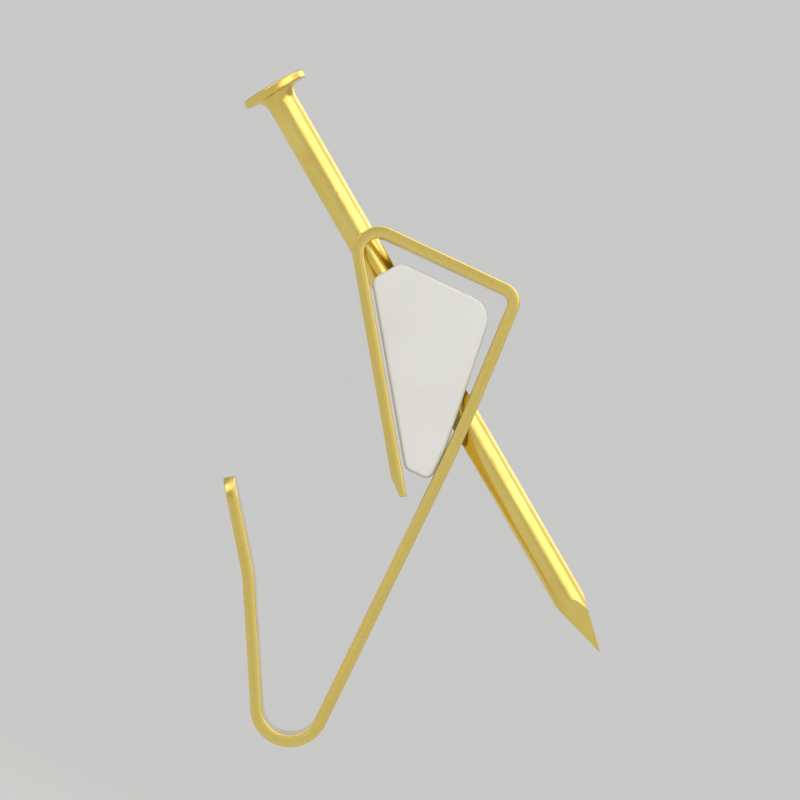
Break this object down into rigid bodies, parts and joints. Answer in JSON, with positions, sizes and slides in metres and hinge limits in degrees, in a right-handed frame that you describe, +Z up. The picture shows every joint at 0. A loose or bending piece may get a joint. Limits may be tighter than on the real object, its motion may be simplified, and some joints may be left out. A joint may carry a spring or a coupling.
{
  "type": "picture hook",
  "caption": "Picture hook bent from a narrow metal strip, with a plastic block in its upper pocket that holds a slanting nail ready to be driven.",
  "frame": {"origin": "on the wall face of the back leg, halfway across the strip and 13 mm below the sharp top corner", "axes": "+Y into the wall, +Z up the wall, +X across the strip"},
  "size_m": [0.004, 0.0218, 0.0239],
  "materials": {
    "plated_strip": "gloss",
    "white_plastic": "satin",
    "plated_nail": "gloss"
  },
  "bodies": {
    "hanger": {"hook_strip": "plated_strip", "nail_holder": "white_plastic"},
    "nail": {"nail": "plated_nail"}
  },
  "joints": [
    {"name": "nail_drive", "type": "slide", "parent": "hanger", "child": "nail", "axis": [0, 0.829, -0.5592], "range_m": [0, 0.0063]}
  ]
}
